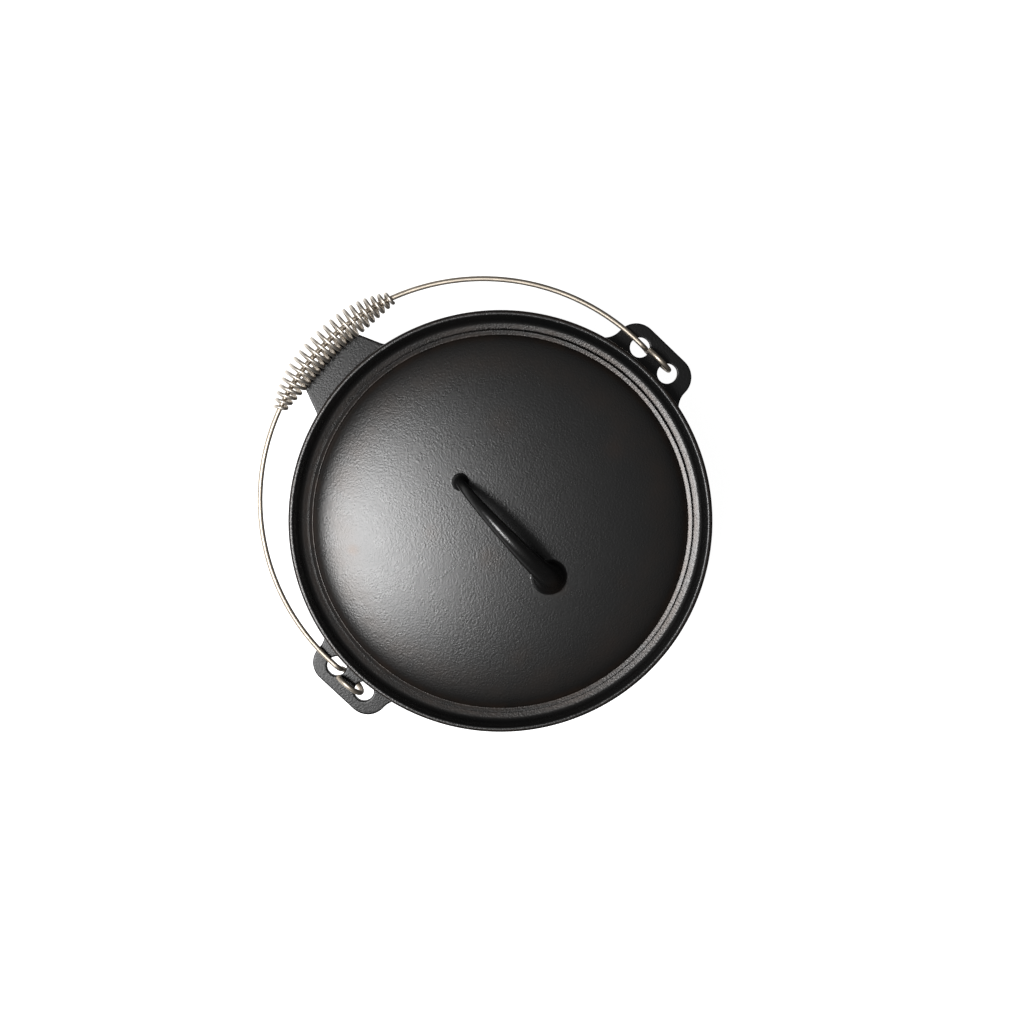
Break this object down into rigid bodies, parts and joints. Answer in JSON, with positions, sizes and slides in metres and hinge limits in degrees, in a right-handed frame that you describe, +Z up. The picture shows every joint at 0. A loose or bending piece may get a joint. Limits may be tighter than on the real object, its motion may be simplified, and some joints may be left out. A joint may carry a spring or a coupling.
{
  "type": "dutch oven",
  "caption": "Cast iron camp pot with a flat base, flared rim, two-hole ears and rest tab, a drop-in domed lid with a cast arch handle, and a wire bail with a coil grip.",
  "frame": {"origin": "centre of the pot's flat base, on the surface it stands on", "axes": "+Z up through the pot's axis; X along the bail's hinge, from ear to ear; +Y towards the rest tab, where the bail lies down"},
  "size_m": [0.34, 0.3313, 0.166],
  "materials": {
    "cast_iron": "pre-seasoned black cast iron, fine pebbled sand-cast texture, semi-gloss",
    "stainless": "satin stainless wire, warm light grey"
  },
  "bodies": {
    "pot": {"pot": "cast_iron"},
    "lid": {"lid": "cast_iron"},
    "bail": {"bail_wire": "stainless"},
    "grip": {"coil_grip": "stainless"}
  },
  "joints": [
    {"name": "lid_lift", "type": "slide", "parent": "pot", "child": "lid", "axis": [0, 0, 1], "range_m": [0, 0.15]},
    {"name": "bail_swing", "type": "hinge", "parent": "pot", "child": "bail", "pos_m": [0, -0.0015, 0.108], "axis": [1, 0, 0], "range_deg": [0, 150]},
    {"name": "grip_slide", "type": "hinge", "parent": "bail", "child": "grip", "pos_m": [0.0012, 0.01746, 0.11277], "axis": [0, -0.0561, 0.9984], "range_deg": [-53, 56]}
  ]
}
